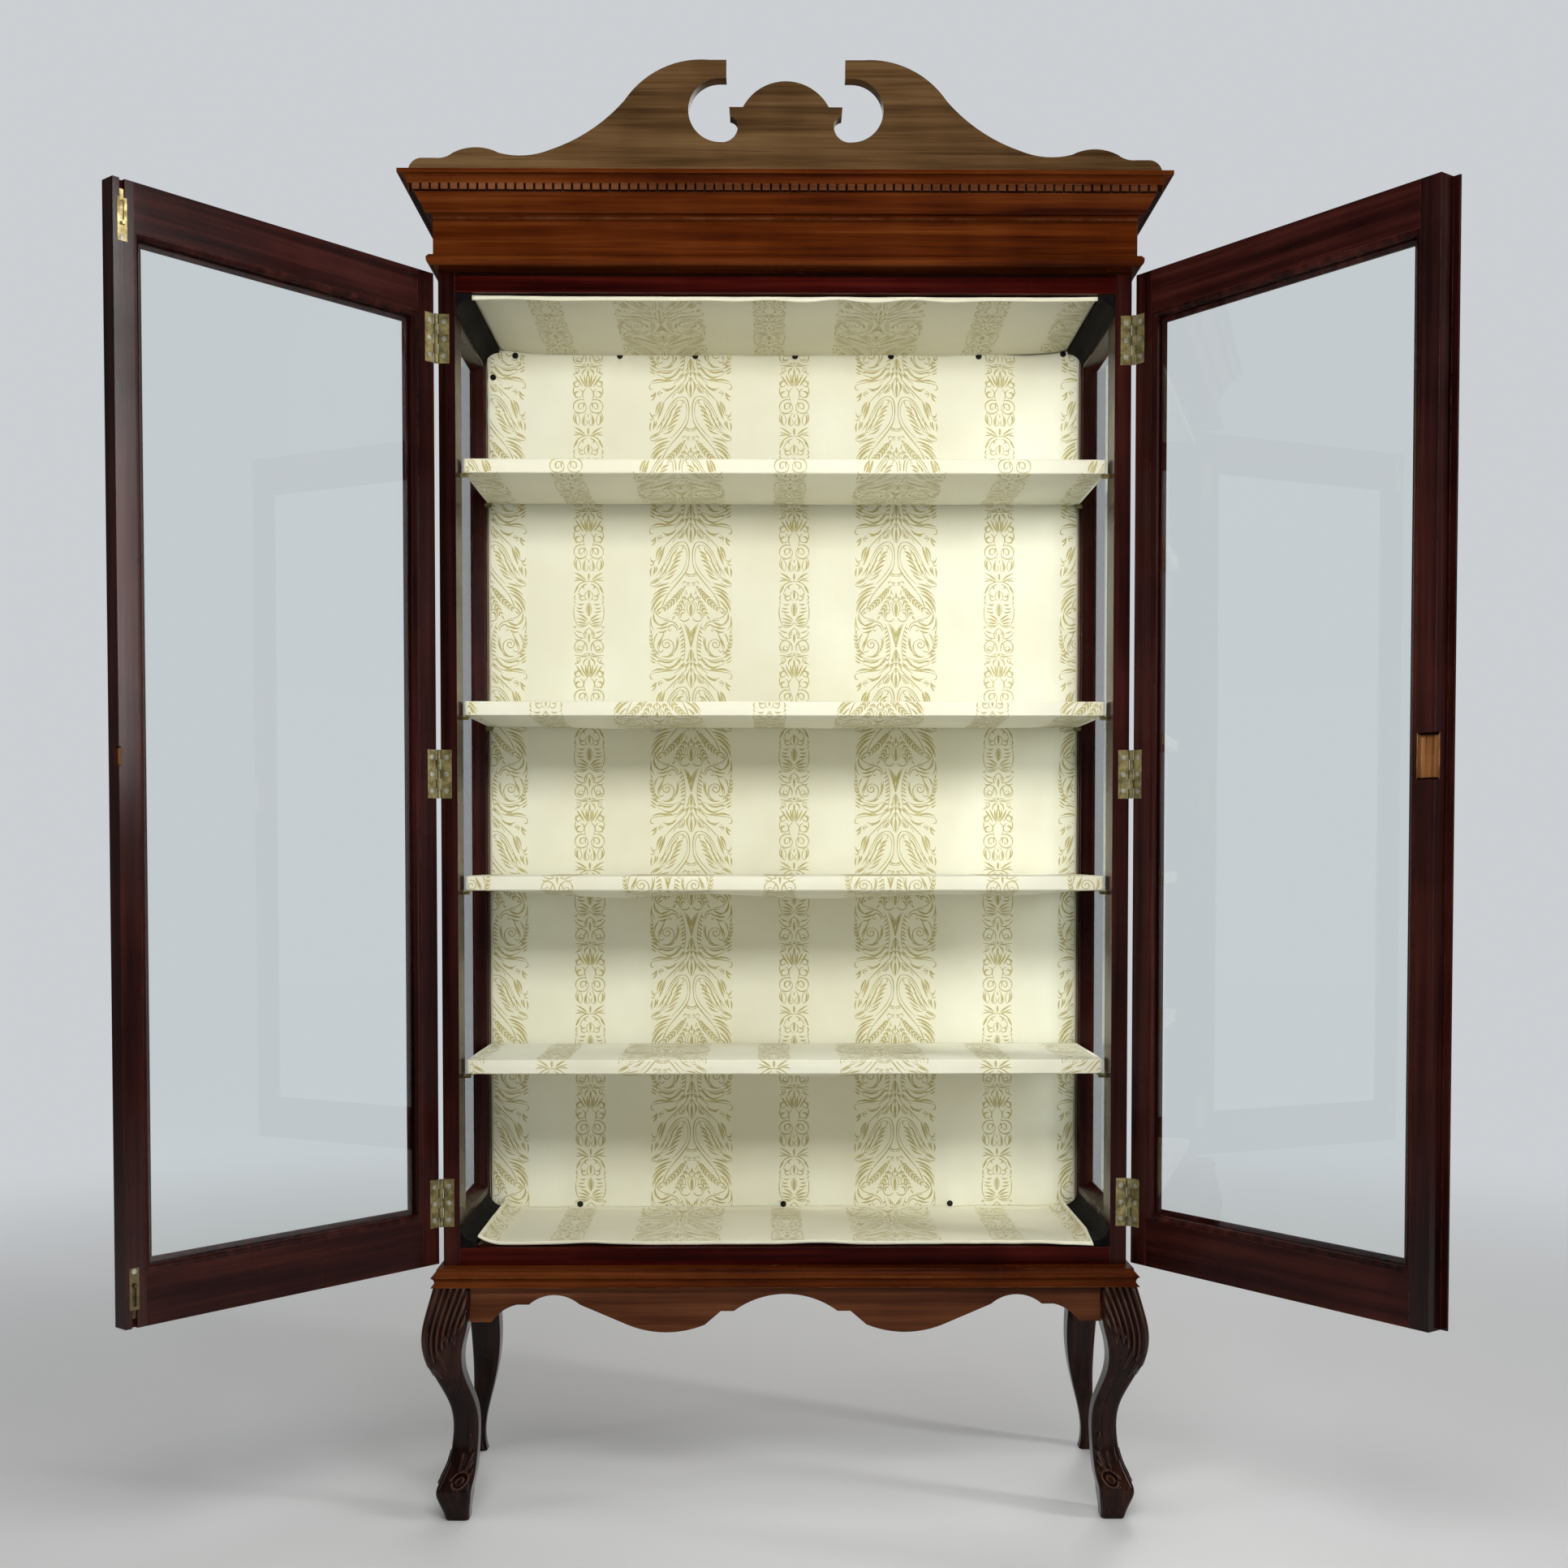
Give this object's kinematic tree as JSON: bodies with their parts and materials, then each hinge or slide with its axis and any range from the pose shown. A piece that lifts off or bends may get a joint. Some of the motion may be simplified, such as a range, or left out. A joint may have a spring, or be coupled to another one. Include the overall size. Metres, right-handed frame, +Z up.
{
  "type": "display cabinet",
  "caption": "Tall glazed display cabinet on cabriole legs with swan-neck pediment, hinged glass doors, glazed sides and cloth-covered shelves that lift off their pins.",
  "frame": {"origin": "on the floor, under the middle of the case's width and depth", "axes": "+X to the cabinet's right as seen from the front, +Y to the back, +Z up"},
  "size_m": [1.5141, 0.6646, 1.8854],
  "materials": {
    "dark_mahogany": "very dark red-brown polished mahogany",
    "red_mahogany": "deep red-brown polished mahogany",
    "brown_mahogany": "warm brown polished mahogany",
    "olive_mahogany": "worn olive-brown polish, fine level grain",
    "inner_wood": "plain softwood and ply",
    "dark_paint": "dark stained softwood",
    "aged_brass": "aged dull brass",
    "bright_steel": "worn bright slotted screws",
    "clear_glass": "clear sheet glass",
    "brocade": "cream satin ground with olive-gold damask stripes"
  },
  "bodies": {
    "case": {"back_apron": "red_mahogany", "back_left_leg": "dark_mahogany", "back_left_post": "dark_mahogany", "back_lining": "brocade", "back_panel": "inner_wood", "back_right_leg": "dark_mahogany", "back_right_post": "dark_mahogany", "base_moulding": "brown_mahogany", "battens": "dark_paint", "bottom_board": "inner_wood", "case_hinge_leaves": "aged_brass", "case_hinge_screws": "bright_steel", "ceiling_board": "inner_wood", "ceiling_lining": "brocade", "cornice": "brown_mahogany", "dentils": "brown_mahogany", "floor_board": "inner_wood", "floor_lining": "brocade", "frieze": "brown_mahogany", "frieze_lip": "brown_mahogany", "front_apron": "red_mahogany", "front_left_leg": "dark_mahogany", "front_left_post": "dark_mahogany", "front_rails": "red_mahogany", "front_right_leg": "dark_mahogany", "front_right_post": "dark_mahogany", "hinge_pins": "aged_brass", "hood_boards": "inner_wood", "pediment": "olive_mahogany", "shelf_pins": "aged_brass", "side_aprons": "red_mahogany", "side_beads": "dark_mahogany", "side_glass": "clear_glass", "side_rails": "dark_mahogany"},
    "left_door": {"left_hinge_stile": "dark_mahogany", "left_meeting_stile": "dark_mahogany", "left_door_rails": "dark_mahogany", "left_glazing_beads": "dark_mahogany", "left_glass": "clear_glass", "left_hinge_leaves": "aged_brass", "left_door_screws": "bright_steel", "bolt_plates": "aged_brass"},
    "right_door": {"right_hinge_stile": "dark_mahogany", "right_meeting_stile": "dark_mahogany", "right_door_rails": "dark_mahogany", "right_glazing_beads": "dark_mahogany", "right_glass": "clear_glass", "right_hinge_leaves": "aged_brass", "right_door_screws": "bright_steel", "astragal": "dark_mahogany"},
    "top_bolt": {"top_bolt": "aged_brass"},
    "bottom_bolt": {"bottom_bolt": "aged_brass"},
    "top_shelf": {"top_shelf_board": "inner_wood", "top_shelf_cover": "brocade"},
    "second_shelf": {"second_shelf_board": "inner_wood", "second_shelf_cover": "brocade"},
    "third_shelf": {"third_shelf_board": "inner_wood", "third_shelf_cover": "brocade"},
    "bottom_shelf": {"bottom_shelf_board": "inner_wood", "bottom_shelf_cover": "brocade"}
  },
  "joints": [
    {"name": "left_door_hinge", "type": "hinge", "parent": "case", "child": "left_door", "pos_m": [-0.4539, -0.146, 0.984], "axis": [0, 0, -1], "range_deg": [-130.8, 44]},
    {"name": "right_door_hinge", "type": "hinge", "parent": "case", "child": "right_door", "pos_m": [0.4539, -0.146, 0.984], "axis": [0, 0, 1], "range_deg": [-126, 49]},
    {"name": "top_bolt_slide", "type": "slide", "parent": "left_door", "child": "top_bolt", "axis": [0, 0, 1], "range_m": [0, 0.022]},
    {"name": "bottom_bolt_slide", "type": "slide", "parent": "left_door", "child": "bottom_bolt", "axis": [0, 0, -1], "range_m": [0, 0.022]},
    {"name": "top_shelf_lift", "type": "slide", "parent": "case", "child": "top_shelf", "axis": [0, 0, 1], "range_m": [0, 0.045]},
    {"name": "second_shelf_lift", "type": "slide", "parent": "case", "child": "second_shelf", "axis": [0, 0, 1], "range_m": [0, 0.045]},
    {"name": "third_shelf_lift", "type": "slide", "parent": "case", "child": "third_shelf", "axis": [0, 0, 1], "range_m": [0, 0.045]},
    {"name": "bottom_shelf_lift", "type": "slide", "parent": "case", "child": "bottom_shelf", "axis": [0, 0, 1], "range_m": [0, 0.045]}
  ]
}
